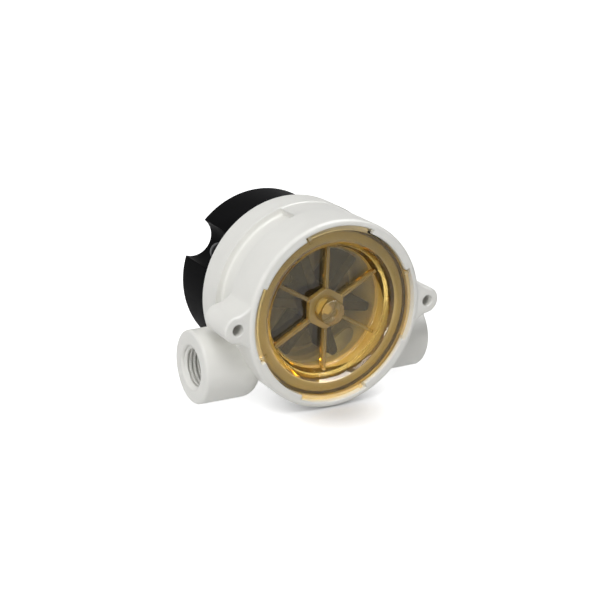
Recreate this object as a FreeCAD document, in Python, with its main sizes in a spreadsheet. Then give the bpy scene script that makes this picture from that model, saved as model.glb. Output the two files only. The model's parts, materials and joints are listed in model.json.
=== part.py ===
"""Paddle wheel flow sensor: body with two pipe ports, twist-off lens and a rear housing for the electronics.

Millimetres. X runs from the left port to the right one, the lens faces -Y and Z is up. The origin is on the
wheel's axis, level with the front face of the two mounting ears. An angle round the axis is counted from
+X towards +Z.
"""
import FreeCAD, Part
import math
import os
import re

import Sketcher

Vector = FreeCAD.Vector
Rotation = FreeCAD.Rotation

SIZES = {
    # Clearances
    "sliding_gap": 0.3,          # between the round faces of the lens and the body
    "seat_gap": 0.2,             # between flat faces of the lens and the body
    "bearing_gap": 0.05,         # round the shaft, where something turns on it
    "loose_gap": 0.2,            # round shafts and screws that pass through without touching
    "thread_gap": 0.02,          # round a screw in its thread
    "end_float": 0.2,            # play of the paddle wheel at each end
    # Body
    "rim_radius": 29.7,
    "rim_proud": 0.4,            # how far the rim stands in front of the ears
    "rim_round": 1.2,
    "band_end": 12.6,            # rear end of the plain band behind the rim
    "shoulder_round": 0.8,
    "groove_depth": 2.0,         # below the rim
    "groove_end": 20.7,
    "groove_fillet": 0.8,
    "ring_step": 0.3,            # how far the rear ring stands out past the rim
    "ring_chamfer": 0.8,
    "divider_thickness": 2.4,    # wall between the chamber and the electronics
    "pocket_wall": 1.3,          # between the pocket of the board and the threaded inserts
    "pocket_depth": 3.2,
    "pad_step": 0.1,             # from the rim in to the pad that bridges the groove at the top
    "pad_angle": 85.0,
    "pad_width": 42.0,
    # Bayonet
    "rim_wall": 1.9,             # round the recess that takes the lens
    "ledge_depth": 3.2,          # ledge under the lens flange
    "tab_reach": 1.3,
    "tab_thickness": 1.7,
    "tab_root": 0.2,             # how far tabs and stops run into the wall of the recess and the ledge
    "tab_angle": 45.0,           # middle of the first tab
    "tab_width": 40.0,
    "stop_width": 3.0,           # stop under one end of each tab
    "lug_width": 46.0,
    "key_width": 1.6,            # rib at one end of each lug, which lets the lens turn one way only
    "key_run": 1.2,              # from the edge of the flange in to the end of that rib
    "key_rise": 0.3,             # in front of the flange
    # Pipe ports
    "port_radius": 11.4,
    "port_reach": 39.6,          # from the middle to the end of a port
    "port_inset": 3.3,           # from the wall of the chamber up to the axis of the ports
    "port_round": 1.0,
    "port_length": 19.6,         # from the end of a port to the heel that turns in to the body
    "heel_round": 5.0,
    "thread_minor_radius": 5.72,
    "thread_depth": 0.86,
    "thread_pitch": 1.337,
    "thread_length": 12.0,
    "thread_start": 90.0,        # angle at which the groove starts
    "thread_open": 0.55,         # share of the pitch that the groove takes at the crests
    "thread_root": 0.2,          # share of the pitch that is flat at the roots
    "thread_overrun": 0.2,       # how far the groove's section starts inside the crests
    "mouth_depth": 1.38,
    "passage_radius": 4.5,
    "passage_wall": 1.5,         # round the passage, from the heel of a port to the body
    # Mounting ears
    "ear_offset": 3.3,           # from the rim out to the middle of an ear's hole
    "ear_radius": 4.2,
    "ear_hole_radius": 1.75,
    "ear_length": 14.0,
    "ear_bite": 4.7,             # from the rim in to the end of an ear's web
    "ear_fillet": 8.0,           # hollow between an ear's boss and the rim
    "ear_sink": 0.8,             # how far the hollow sides run into the rim
    "ear_round": 0.8,
    # Lens
    "flange_set_back": 0.7,      # front of the flange, behind the front of the ears
    "lug_set_back": 0.15,        # from the rear of a tab to the front of a lug
    "lip_round": 3.0,
    "lip_wall": 2.0,             # of the neck, where the rounding of the lip starts
    "flange_width": 3.6,
    "neck_depth": 6.6,
    "neck_step": 1.0,            # from the neck in to the cup
    "cup_wall": 2.6,
    "floor_depth": 8.2,
    "floor_thickness": 2.2,
    "rib_count": 6.0,
    "rib_angle": 30.0,
    "rib_height": 2.0,
    "rib_thickness": 1.2,
    "hexagon_radius": 6.8,
    "post_wall": 2.45,           # round the bore for the shaft
    "post_end": 1.9,             # front end of the post, behind the front of the ears
    "post_round": 0.6,
    "gate_radius": 1.5,          # dimple in the end of the post
    "gate_depth": 0.5,
    "boss_margin": 0.5,          # bosses of the lens and of the body, round the washers that rest on them
    "lens_boss_height": 0.8,
    "o_ring_section": 1.4,
    "gland_reach": 0.75,         # from the edge of the flange out to the wall of the groove for the seal
    # Paddle wheel and shaft
    "chamber_step": 1.6,         # from the cup of the lens in to the wall of the chamber
    "chamber_width": 15.2,
    "body_boss_height": 1.4,
    "shaft_radius": 1.5,
    "shaft_seat_depth": 3.0,
    "shaft_front": 7.0,          # front end of the shaft, behind the front of the ears
    "washer_width": 2.3,
    "washer_thickness": 0.5,
    "bush_wall": 1.45,
    "bush_proud": 0.3,
    "hub_wall": 3.2,
    "vane_count": 6.0,
    "vane_angle": 50.0,
    "vane_tip_gap": 1.5,
    "vane_thickness": 3.0,
    "vane_gap": 1.2,             # from a vane's edges to the lens and to the back of the chamber
    "vane_round": 1.2,
    "web_thickness": 1.6,        # disc that closes the rear of the vanes
    "web_inset": 1.0,            # from the tips of the vanes in to the edge of the web
    "magnet_radius": 1.0,
    "magnet_length": 5.0,
    "magnet_inset": 4.0,         # from the tip of a vane to the middle of its magnet
    # Rear housing
    "gasket_thickness": 0.8,
    "gasket_margin": 0.3,
    "housing_step": 2.5,         # from the rear ring in to the housing
    "housing_length": 19.2,
    "housing_wall": 2.2,
    "housing_end": 2.5,
    "housing_round": 0.8,
    "scallop_radius": 6.5,
    "foot_thickness": 2.5,       # feet that the housing screws hold, at the front of each scallop
    "screw_inset": 2.1,          # from the outside of the housing to the axis of a screw
    "screw_radius": 1.5,
    "screw_head_radius": 2.75,
    "screw_head_height": 2.2,
    "screw_head_round": 1.0,
    "cross_width": 0.7,
    "cross_reach": 1.7,
    "cross_depth": 1.2,
    "plain_washer_radius": 3.2,
    "plain_washer_thickness": 0.5,
    "insert_wall": 0.58,
    "insert_length": 5.7,
    "grommet_neck_radius": 4.0,
    "grommet_rim_radius": 6.0,
    "grommet_rim_thickness": 1.6,
    "grommet_nose_radius": 4.6,
    "cable_radius": 1.9,         # bore of the grommet
    # Electronics
    "board_margin": 1.5,         # between the board and the wall of its pocket
    "board_thickness": 1.6,
    "board_screw_inset": 3.5,
    "board_post_radius": 2.8,
    "board_screw_radius": 1.25,
    "board_screw_length": 4.6,
    "board_screw_head_radius": 2.2,
    "board_screw_head_height": 1.5,
    "board_cross_width": 0.6,
    "board_cross_reach": 1.3,
    "board_cross_depth": 0.8,
    "hall_width": 4.1,
    "hall_height": 3.1,
    "hall_thickness": 1.5,
    "leg_width": 0.45,
    "leg_pitch": 1.27,
    "hall_leg_run": 2.0,
    "chip_width": 4.9,
    "chip_height": 3.9,
    "chip_thickness": 1.5,
    "chip_x": -7.0,
    "chip_z": 3.0,
    "chip_leg_reach": 1.05,
    "chip_leg_thickness": 0.25,
    "regulator_width": 6.5,
    "regulator_height": 3.5,
    "regulator_thickness": 1.6,
    "regulator_x": 8.0,
    "regulator_z": 4.5,
    "capacitor_radius": 2.0,
    "capacitor_length": 5.4,
    "capacitor_x": 8.0,
    "capacitor_z": -4.0,
    "capacitor_pitch": 5.0,
    "resistor_width": 2.0,
    "resistor_height": 1.25,
    "resistor_thickness": 0.55,
    "resistor_x": -9.0,
    "resistor_z": -4.5,
    "resistor_pitch": 2.4,
    "connector_width": 9.8,
    "connector_depth": 5.8,
    "connector_length": 7.0,
    "connector_wall": 0.9,
    "connector_z": 11.0,
    "pin_width": 0.64,
    "pin_pitch": 2.5,
    "pin_length": 5.2,
}

TAB_COUNT = 4
SCREW_ANGLES = (30, 150, 270)
BOARD_SCREW_ANGLES = (90, 210, 330)
HALL_ANGLE = 270
CHIP_LEGS = 4                    # on each side of the signal chip
SAME_PLACE = 1e-6                # largest difference between two places that count as one
LEAST_CUT = 0.01                 # least volume that a cut takes away

# Sizes that follow from the ones above
DERIVED = {
    # Radii, from the rim inwards
    "recess_radius": "rim_radius - rim_wall",
    "groove_floor_radius": "rim_radius - groove_depth",
    "ring_radius": "rim_radius + ring_step",
    "pad_radius": "rim_radius - pad_step",
    "ear_middle": "rim_radius + ear_offset",
    "ear_root": "rim_radius - ear_bite",
    "flange_radius": "recess_radius - tab_reach - sliding_gap",
    "lug_radius": "recess_radius - sliding_gap",
    "neck_radius": "flange_radius - flange_width",
    "gland_radius": "flange_radius + gland_reach",
    "ring_seat_radius": "gland_radius - o_ring_section - sliding_gap",
    "lip_radius": "neck_radius - lip_wall",
    "cup_radius": "neck_radius - neck_step",
    "floor_radius": "cup_radius - cup_wall",
    "chamber_radius": "cup_radius - chamber_step",
    "port_drop": "chamber_radius - port_inset",
    "vane_radius": "chamber_radius - vane_tip_gap",
    "magnet_circle": "vane_radius - magnet_inset",
    "housing_radius": "ring_radius - housing_step",
    "screw_circle": "housing_radius - screw_inset",
    "pocket_radius": "screw_circle - insert_radius - pocket_wall",
    "board_radius": "pocket_radius - board_margin",
    "board_screw_circle": "board_radius - board_screw_inset",
    # Radii round the shaft, the threads and the screws
    "bearing_radius": "shaft_radius + bearing_gap",
    "post_radius": "bearing_radius + post_wall",
    "bush_radius": "bearing_radius + bush_wall",
    "hub_radius": "bush_radius + hub_wall",
    "washer_hole_radius": "shaft_radius + loose_gap",
    "washer_radius": "washer_hole_radius + washer_width",
    "boss_radius": "washer_radius + boss_margin",
    "thread_major_radius": "thread_minor_radius + thread_depth",
    "mouth_radius": "thread_minor_radius + mouth_depth",
    "screw_hole_radius": "screw_radius + loose_gap",
    "insert_bore_radius": "screw_radius + thread_gap",
    "insert_radius": "insert_bore_radius + insert_wall",
    # Distances along the axis
    "rim_front": "-rim_proud",
    "flange_front": "flange_set_back",
    "flange_back": "ledge_depth - seat_gap",
    "tab_back": "rim_front + tab_thickness",
    "rib_front": "floor_depth - rib_height",
    "lens_back": "floor_depth + floor_thickness",
    "lens_boss_back": "lens_back + lens_boss_height",
    "bore_front": "shaft_front - seat_gap",
    "chamber_front": "lens_back + seat_gap",
    "chamber_back": "lens_back + chamber_width",
    "chamber_middle": "lens_back + chamber_width / 2",
    "boss_front": "chamber_back - body_boss_height",
    "shaft_back": "boss_front + shaft_seat_depth",
    "gland_back": "flange_back + o_ring_section + seat_gap",
    "pocket_floor": "chamber_back + divider_thickness",
    "body_rear": "pocket_floor + pocket_depth",
    "rear_washer": "boss_front - washer_thickness",
    "bush_front": "lens_boss_back + washer_thickness + end_float",
    "bush_back": "rear_washer - end_float",
    "hub_front": "bush_front + bush_proud",
    "hub_back": "bush_back - bush_proud",
    "vane_front": "lens_back + vane_gap",
    "vane_back": "chamber_back - vane_gap",
    "housing_front": "body_rear + gasket_thickness",
    "housing_rear": "housing_front + housing_length",
    "foot_back": "housing_front + foot_thickness",
    "washer_back": "foot_back + plain_washer_thickness",
    "screw_length": "washer_back - body_rear + insert_length - loose_gap",
    "board_front": "pocket_floor + seat_gap + hall_thickness",
    "board_back": "board_front + board_thickness",
}

doc = FreeCAD.newDocument("flow_sensor")
sheet = doc.addObject("Spreadsheet::Sheet", "Sizes")
nodes = []


def fill_sheet():
    """Put each driving size in a cell of its own, under its name."""
    for row, (name, size) in enumerate(SIZES.items(), start=1):
        sheet.set(f"A{row}", name)
        sheet.set(f"B{row}", str(size))
        sheet.setAlias(f"B{row}", name)
    doc.recompute()


def formula(text):
    """A formula on the sizes, with derived sizes written out and each other name pointing at its cell."""
    def written_out(found):
        name = found.group()
        return f"({formula(DERIVED[name])})" if name in DERIVED else "Sizes." + name

    return re.sub(r"[a-z]+(?:_[a-z]+)+", written_out, text)


def number(text):
    """What a formula comes to with the sizes as they are."""
    return float(sheet.evalExpression(formula(text)))


def bind(piece, **sizes):
    """Tie properties of a piece to formulas."""
    for name, text in sizes.items():
        piece.setExpression(name, formula(text))
    return piece


def place(piece, at=("0", "0", "0"), turn=None):
    """Put a piece at a point given by three formulas, turned by a rotation."""
    piece.Placement = FreeCAD.Placement(Vector(), turn or Rotation())
    for axis, text in zip("xyz", at):
        if text != "0":
            piece.setExpression(f"Placement.Base.{axis}", formula(text))
    return piece


def about_axis(angle):
    """Rotation about the wheel's axis, from +X towards +Z."""
    return Rotation(Vector(0, -1, 0), angle)


def polar(radius, angle, y):
    """Formulas of the point at a radius and an angle round the axis."""
    return f"({radius}) * cos({angle} deg)", y, f"({radius}) * sin({angle} deg)"


# Rotations that lay a piece made along Z in another direction
TO_REAR = Rotation(Vector(1, 0, 0), -90)
TO_FRONT = Rotation(Vector(1, 0, 0), 90)
TO_RIGHT = Rotation(Vector(0, 1, 0), 90)
TO_LEFT = Rotation(Vector(0, 1, 0), -90)


def cylinder(name, radius, length, at=("0", "0", "0"), turn=TO_REAR):
    """A cylinder from a point, along Y unless turned otherwise."""
    piece = bind(doc.addObject("Part::Cylinder", name), Radius=radius, Height=length)
    return place(piece, at, turn)


def cone(name, first_radius, last_radius, length, at, turn):
    """A cone from a point, along the direction that its rotation gives."""
    piece = doc.addObject("Part::Cone", name)
    return place(bind(piece, Radius1=first_radius, Radius2=last_radius, Height=length), at, turn)


def box(name, width, depth, height, at):
    """A box centred on a point in X and Z, starting there in Y."""
    piece = bind(doc.addObject("Part::Box", name), Length=width, Width=depth, Height=height)
    x, y, z = at
    return place(piece, (f"{x} - ({width}) / 2", y, f"{z} - ({height}) / 2"))


def fused(name, pieces):
    """Several overlapping pieces as one."""
    piece = doc.addObject("Part::MultiFuse", name)
    piece.Shapes = pieces
    return piece


def cut(name, base, tool):
    """One piece with another taken away."""
    piece = doc.addObject("Part::Cut", name)
    piece.Base = base
    piece.Tool = tool
    return piece


def group(name, pieces):
    """Like pieces that stay separate."""
    piece = doc.addObject("Part::Compound", name)
    piece.Links = pieces
    return piece


def node(piece):
    """Mark a finished sub-part, which is written under its own label."""
    nodes.append(piece)
    return piece


def arc(start, end, radius, turn):
    """The short arc between two points; a turn of 1 runs counter-clockwise and -1 clockwise."""
    chord = end - start
    across = Vector(-chord.y, chord.x, 0).normalize()
    rise = math.sqrt(max(radius ** 2 - (chord.Length / 2) ** 2, 0))
    centre = (start + end) * 0.5 + across * (rise * turn)
    circle = Part.Circle(centre, Vector(0, 0, 1), radius)
    first, last = (start, end) if turn > 0 else (end, start)
    return Part.ArcOfCircle(circle, circle.parameter(first), circle.parameter(last))


def sketch_on(body, role, name):
    """An empty sketch on one of a body's own origin planes."""
    sketch = body.newObject("Sketcher::SketchObject", name)
    plane = next(feature for feature in body.Origin.OriginFeatures if feature.Role == role)
    sketch.AttachmentSupport = [(plane, "")]
    sketch.MapMode = "FlatFace"
    return sketch


def fix_point(sketch, geometry, end, x, y):
    """Tie one end of a line or arc to two formulas."""
    for kind, text, axis in (("DistanceX", x, -2), ("DistanceY", y, -1)):
        if text == "0":
            sketch.addConstraint(Sketcher.Constraint("PointOnObject", geometry, end, axis))
            continue
        made = sketch.addConstraint(Sketcher.Constraint(kind, -1, 1, geometry, end, number(text)))
        sketch.setExpression(f"Constraints[{made}]", formula(text))


def draw(sketch, corners):
    """Draw a closed outline, whose corners are two formulas each.

    A corner with a radius and a turn as well starts an arc instead of a line.
    """
    points = [Vector(number(corner[0]), number(corner[1]), 0) for corner in corners]
    ends = []
    for index, corner in enumerate(corners):
        start, end = points[index], points[(index + 1) % len(points)]
        if len(corner) == 2:
            sketch.addGeometry(Part.LineSegment(start, end), False)
            ends.append((1, 2))
        else:
            sketch.addGeometry(arc(start, end, number(corner[2]), corner[3]), False)
            ends.append((1, 2) if corner[3] > 0 else (2, 1))
    for index, corner in enumerate(corners):
        following = (index + 1) % len(corners)
        joint = Sketcher.Constraint("Coincident", index, ends[index][1], following, ends[following][0])
        sketch.addConstraint(joint)
        fix_point(sketch, index, ends[index][0], corner[0], corner[1])
        if len(corner) > 2:
            made = sketch.addConstraint(Sketcher.Constraint("Radius", index, number(corner[2])))
            sketch.setExpression(f"Constraints[{made}]", formula(corner[2]))


def turned(name, corners, width=None, angle=0):
    """A piece turned about the axis from an outline of radii and distances, or a sector of one."""
    body = doc.addObject("PartDesign::Body", name)
    sketch = sketch_on(body, "XY_Plane", name + "_outline")
    draw(sketch, corners)
    turn = body.newObject("PartDesign::Revolution", name + "_turn")
    turn.Profile = sketch
    turn.ReferenceAxis = (sketch, ["V_Axis"])
    turn.Angle = 360
    if width:
        turn.Midplane = True
        bind(turn, Angle=width)
    body.Placement = FreeCAD.Placement(Vector(), about_axis(angle))
    return body


def block(inner, outer, front, back):
    """Outline of a plain ring between two radii and two distances."""
    return [(inner, front), (outer, front), (outer, back), (inner, back)]


def rounded_edges(name, base, radius, wanted):
    """A piece with some of its edges rounded, picked by a test on each edge."""
    doc.recompute()
    picked = [index for index, edge in enumerate(base.Shape.Edges, start=1) if wanted(edge)]
    piece = doc.addObject("Part::Fillet", name)
    piece.Base = base
    piece.Edges = [(index, number(radius), number(radius)) for index in picked]
    return piece


def is_ear_edge(edge):
    """Whether an edge runs round the front or the rear face of an ear."""
    return edge.BoundBox.YLength < number("ear_round")


def ear(name, angle):
    """One mounting ear: a round boss along Y with hollow-sided webs that run into the rim."""
    body = doc.addObject("PartDesign::Body", name + "_blank")
    sketch = sketch_on(body, "XZ_Plane", name + "_outline")
    run_in = "(rim_radius - ear_sink)"
    from_axis = f"({run_in} + ear_fillet)"
    from_boss = "(ear_radius + ear_fillet)"
    centre_x = f"(({from_axis} ^ 2 - {from_boss} ^ 2 + ear_middle ^ 2) / (2 * ear_middle))"
    centre_z = f"sqrt({from_axis} ^ 2 - {centre_x} ^ 2)"
    boss_x = f"ear_middle + ({centre_x} - ear_middle) * ear_radius / {from_boss}"
    boss_z = f"{centre_z} * ear_radius / {from_boss}"
    rim_x = f"{centre_x} * {run_in} / {from_axis}"
    rim_z = f"{centre_z} * {run_in} / {from_axis}"
    draw(sketch, [
        (boss_x, f"-{boss_z}", "ear_radius", 1),
        (boss_x, boss_z, "ear_fillet", -1),
        (rim_x, rim_z),
        ("ear_root", rim_z),
        ("ear_root", f"-{rim_z}"),
        (rim_x, f"-{rim_z}", "ear_fillet", -1),
    ])
    pad = body.newObject("PartDesign::Pad", name + "_pad")
    pad.Profile = sketch
    pad.Reversed = True
    bind(pad, Length="ear_length")
    body.Placement = FreeCAD.Placement(Vector(), about_axis(angle))
    return rounded_edges(name, body, "ear_round", is_ear_edge)


def thread_cutter(side, sign, inwards):
    """The helical groove of a port's thread, from beyond the port's end inwards."""
    crest = number("thread_minor_radius")
    root = number("thread_major_radius")
    pitch = number("thread_pitch")
    start_radius = crest - number("thread_overrun")
    open_half = number("thread_open") * pitch / 2
    root_half = number("thread_root") * pitch / 2
    corners = [Vector(start_radius, 0, -open_half), Vector(root, 0, -root_half),
               Vector(root, 0, root_half), Vector(start_radius, 0, open_half)]
    section = Part.makePolygon(corners + corners[:1])
    helix = Part.makeHelix(pitch, number("thread_length"), crest)
    piece = doc.addObject("Part::Feature", side + "_thread")
    piece.Shape = Part.Wire(helix.Edges).makePipeShell([section], True, True)
    outside = (f"{sign} * (port_reach + thread_pitch / 2)", "chamber_middle", "-port_drop")
    return place(piece, outside, inwards.multiply(Rotation(Vector(0, 0, 1), number("thread_start"))))


def port_tools(side, sign, inwards):
    """The bore of one port and its chamfered mouth."""
    end = (f"{sign} * port_reach", "chamber_middle", "-port_drop")
    return [
        cylinder(side + "_bore", "thread_minor_radius", "thread_length", end, inwards),
        cone(side + "_mouth", "mouth_radius", "thread_minor_radius", "mouth_depth", end, inwards),
    ]


def port(side, sign, inwards):
    """One pipe port with a rounded end, a rounded heel and a neck that runs in to the chamber's wall."""
    end = (f"{sign} * port_reach", "chamber_middle", "-port_drop")
    blank = cylinder(side + "_port_blank", "port_radius", "port_length", end, inwards)

    def is_end(edge):
        return abs(abs(edge.BoundBox.Center.x) - number("port_reach")) < SAME_PLACE

    def is_heel(edge):
        return abs(abs(edge.BoundBox.Center.x) - number("port_reach - port_length")) < SAME_PLACE

    barrel = rounded_edges(side + "_barrel", blank, "port_round", is_end)
    barrel = rounded_edges(side + "_port", barrel, "heel_round", is_heel)
    neck = cylinder(side + "_port_neck", "passage_radius + passage_wall",
                    "port_reach - groove_floor_radius / 2", end, inwards)
    return [barrel, neck]


def make_flow_body():
    """White moulded body, with everything that is one piece with it."""
    form = turned("body_form", [
        ("0", "rim_front"),
        ("rim_radius - rim_round", "rim_front", "rim_round", 1),
        ("rim_radius", "rim_front + rim_round"),
        ("rim_radius", "band_end", "shoulder_round", 1),
        ("rim_radius - shoulder_round", "band_end + shoulder_round"),
        ("groove_floor_radius", "band_end + shoulder_round"),
        ("groove_floor_radius", "groove_end", "groove_fillet", -1),
        ("groove_floor_radius + groove_fillet", "groove_end + groove_fillet"),
        ("ring_radius", "groove_end + groove_fillet"),
        ("ring_radius", "body_rear - ring_chamfer"),
        ("ring_radius - ring_chamfer", "body_rear"),
        ("0", "body_rear"),
    ])
    pad = turned("top_pad", block("groove_floor_radius - shoulder_round", "pad_radius", "band_end",
                                  "groove_end + 2 * groove_fillet"), "pad_width", number("pad_angle"))
    ports = port("right", 1, TO_LEFT) + port("left", -1, TO_RIGHT)
    shell = fused("body_solids", [form, pad, ear("right_ear", 0), ear("left_ear", 180)] + ports)
    cavity = turned("lens_and_wheel_cavity", [
        ("0", "rim_front - rim_round"),
        ("recess_radius", "rim_front - rim_round"),
        ("recess_radius", "ledge_depth"),
        ("gland_radius", "ledge_depth"),
        ("gland_radius", "gland_back"),
        ("ring_seat_radius", "gland_back"),
        ("ring_seat_radius", "ledge_depth"),
        ("neck_radius + sliding_gap", "ledge_depth"),
        ("neck_radius + sliding_gap", "neck_depth + seat_gap"),
        ("cup_radius + sliding_gap", "neck_depth + seat_gap"),
        ("cup_radius + sliding_gap", "chamber_front"),
        ("chamber_radius", "chamber_front"),
        ("chamber_radius", "chamber_back"),
        ("boss_radius", "chamber_back"),
        ("boss_radius", "boss_front"),
        ("shaft_radius", "boss_front"),
        ("shaft_radius", "shaft_back"),
        ("0", "shaft_back"),
    ])
    pocket = cylinder("board_pocket", "pocket_radius", "pocket_depth + ring_chamfer",
                      ("0", "pocket_floor", "0"))
    passage = cylinder("flow_passage", "passage_radius", "2 * port_reach",
                       ("-port_reach", "chamber_middle", "-port_drop"), TO_RIGHT)
    holes = [cavity, pocket, passage]
    holes += port_tools("right", 1, TO_LEFT) + port_tools("left", -1, TO_RIGHT)
    for side, sign in (("right", 1), ("left", -1)):
        holes.append(cylinder(side + "_ear_hole", "ear_hole_radius", "ear_length + 2 * rim_proud",
                              (f"{sign} * ear_middle", "rim_front", "0")))
    for angle in SCREW_ANGLES:
        holes.append(cylinder(f"insert_hole_{angle}", "insert_radius", "insert_length",
                              polar("screw_circle", angle, "body_rear"), TO_FRONT))
    for index, hole in enumerate(holes):
        shell = cut(f"body_cut_{index}", shell, hole)
    added = [shell]
    for index in range(TAB_COUNT):
        angle = number("tab_angle") + index * 360 / TAB_COUNT
        tab = block("recess_radius - tab_reach", "recess_radius + tab_root", "rim_front", "tab_back")
        added.append(turned(f"tab_{index}", tab, "tab_width", angle))
        stop = block("gland_radius", "recess_radius + tab_root", "rim_front", "ledge_depth + tab_root")
        end_angle = angle - number("(tab_width - stop_width) / 2")
        added.append(turned(f"stop_{index}", stop, "stop_width", end_angle))
    for angle in BOARD_SCREW_ANGLES:
        added.append(cylinder(f"board_post_{angle}", "board_post_radius", "board_front - chamber_back",
                              polar("board_screw_circle", angle, "board_front"), TO_FRONT))
    body = fused("body_with_posts", added)
    drills = [cylinder(f"pilot_{angle}", "board_screw_radius + thread_gap",
                       "board_screw_length - board_thickness + loose_gap",
                       polar("board_screw_circle", angle, "board_front"), TO_FRONT)
              for angle in BOARD_SCREW_ANGLES]
    body = cut("drilled_body", body, fused("pilot_drills", drills))
    body = cut("half_threaded_body", body, thread_cutter("right", 1, TO_LEFT))
    node(cut("flow_body", body, thread_cutter("left", -1, TO_RIGHT)))


def make_lens():
    """Amber cup with its flange, ribs, hexagon and post, and bayonet lugs that stand between the tabs."""
    cup = turned("lens_cup", [
        ("0", "post_end + gate_depth"),
        ("gate_radius", "post_end + gate_depth"),
        ("gate_radius", "post_end"),
        ("post_radius - post_round", "post_end", "post_round", 1),
        ("post_radius", "post_end + post_round"),
        ("post_radius", "floor_depth"),
        ("floor_radius", "floor_depth"),
        ("lip_radius", "flange_front + lip_round", "lip_round", 1),
        ("lip_radius + lip_round", "flange_front"),
        ("flange_radius", "flange_front"),
        ("flange_radius", "flange_back"),
        ("neck_radius", "flange_back"),
        ("neck_radius", "neck_depth"),
        ("cup_radius", "neck_depth"),
        ("cup_radius", "lens_back"),
        ("boss_radius", "lens_back"),
        ("boss_radius", "lens_boss_back"),
        ("0", "lens_boss_back"),
    ])
    pieces = [cup]
    for index in range(TAB_COUNT):
        angle = number("tab_angle") + (index + 0.5) * 360 / TAB_COUNT
        lug = block("neck_radius", "lug_radius", "tab_back + lug_set_back", "flange_back")
        pieces.append(turned(f"lug_{index}", lug, "lug_width", angle))
        key = block("flange_radius - key_run", "lug_radius", "flange_front - key_rise", "flange_back")
        end_angle = angle + number("(lug_width - key_width) / 2")
        pieces.append(turned(f"key_{index}", key, "key_width", end_angle))
    hexagon = bind(doc.addObject("Part::Prism", "lens_hexagon"), Circumradius="hexagon_radius",
                   Height="rib_height + floor_thickness / 2")
    hexagon.Polygon = 6
    pieces.append(place(hexagon, ("0", "rib_front", "0"),
                        about_axis(number("rib_angle")).multiply(TO_REAR)))
    for index in range(int(number("rib_count"))):
        rib = bind(doc.addObject("Part::Box", f"rib_{index}"), Length="(floor_radius + cup_radius) / 2",
                   Width="rib_height + floor_thickness / 2", Height="rib_thickness")
        angle = number("rib_angle") + index * 360 / number("rib_count")
        radians = math.radians(angle)
        corner = (f"rib_thickness / 2 * {math.sin(radians):.9f}", "rib_front",
                  f"-rib_thickness / 2 * {math.cos(radians):.9f}")
        pieces.append(place(rib, corner, about_axis(angle)))
    bore = cylinder("lens_shaft_bore", "bearing_radius", "lens_boss_back - bore_front",
                    ("0", "bore_front", "0"))
    node(cut("lens", fused("lens_solids", pieces), bore))


def torus(name, ring_radius, section, y):
    """A ring of round section about the axis."""
    piece = bind(doc.addObject("Part::Torus", name), Radius1=ring_radius, Radius2=section)
    return place(piece, ("0", y, "0"), TO_REAR)


def make_lens_o_ring():
    """Sealing ring in a groove of the ledge, under the outer edge of the lens flange."""
    ring = torus("lens_o_ring", "ring_seat_radius + bearing_gap + o_ring_section / 2", "o_ring_section / 2",
                 "flange_back + bearing_gap + o_ring_section / 2")
    node(ring)


def tube(name, inner, outer, front, back):
    """A plain ring or tube about the axis."""
    return node(turned(name, block(inner, outer, front, back)))


def make_shaft_and_washers():
    """Fixed shaft with a chamfered end, and the washers at both ends of the wheel's hub."""
    node(turned("rotor_shaft", [
        ("0", "shaft_front"),
        ("shaft_radius - loose_gap", "shaft_front"),
        ("shaft_radius", "shaft_front + loose_gap"),
        ("shaft_radius", "shaft_back"),
        ("0", "shaft_back"),
    ]))
    for name, front in (("front_thrust_washer", "lens_boss_back"), ("rear_thrust_washer", "rear_washer")):
        tube(name, "washer_hole_radius", "washer_radius", front, f"{front} + washer_thickness")


def vane(index):
    """One vane of the wheel, with a rounded tip."""
    angle = number("vane_angle") + index * 360 / number("vane_count")
    radians = math.radians(angle)
    width = "vane_back - vane_front"
    blank = bind(doc.addObject("Part::Box", f"vane_blank_{index}"), Length="vane_radius", Width=width,
                 Height="vane_thickness")
    corner = (f"vane_thickness / 2 * {math.sin(radians):.9f}", "vane_front",
              f"-vane_thickness / 2 * {math.cos(radians):.9f}")
    place(blank, corner, about_axis(angle))
    tip = number("vane_radius") - number("vane_thickness")

    def is_tip(edge):
        middle = edge.BoundBox.Center
        return math.hypot(middle.x, middle.z) > tip and edge.BoundBox.YLength > number("vane_round")

    return rounded_edges(f"vane_{index}", blank, "vane_round", is_tip)


def make_paddle_wheel():
    """Wheel with its vanes, web, bush and magnets."""
    hub = turned("wheel_hub", [
        ("0", "hub_front"),
        ("hub_radius - vane_round", "hub_front", "vane_round", 1),
        ("hub_radius", "hub_front + vane_round"),
        ("hub_radius", "hub_back - vane_round", "vane_round", 1),
        ("hub_radius - vane_round", "hub_back"),
        ("0", "hub_back"),
    ])
    vanes = [vane(index) for index in range(int(number("vane_count")))]
    web = cylinder("wheel_web", "vane_radius - web_inset", "web_thickness",
                   ("0", "vane_back - web_thickness", "0"))
    wheel = fused("wheel_solids", [hub, web] + vanes)
    bores = [cylinder("bush_bore", "bush_radius", "vane_back - vane_front + 2 * vane_gap",
                      ("0", "vane_front - vane_gap", "0")),
             cylinder("front_relief", "boss_radius + sliding_gap", "hub_front - lens_back",
                      ("0", "lens_back", "0")),
             cylinder("rear_relief", "boss_radius + sliding_gap", "chamber_back - hub_back",
                      ("0", "hub_back", "0"))]
    magnets = []
    for index in range(int(number("vane_count"))):
        angle = number("vane_angle") + index * 360 / number("vane_count")
        seat = polar("magnet_circle", angle, "vane_back")
        bores.append(cylinder(f"magnet_bore_{index}", "magnet_radius", "magnet_length", seat, TO_FRONT))
        magnets.append(cylinder(f"magnet_{index}", "magnet_radius", "magnet_length", seat, TO_FRONT))
    node(cut("paddle_wheel", wheel, fused("wheel_bores", bores)))
    node(group("rotor_magnets", magnets))
    tube("rotor_bush", "bearing_radius", "bush_radius", "bush_front", "bush_back")


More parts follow.
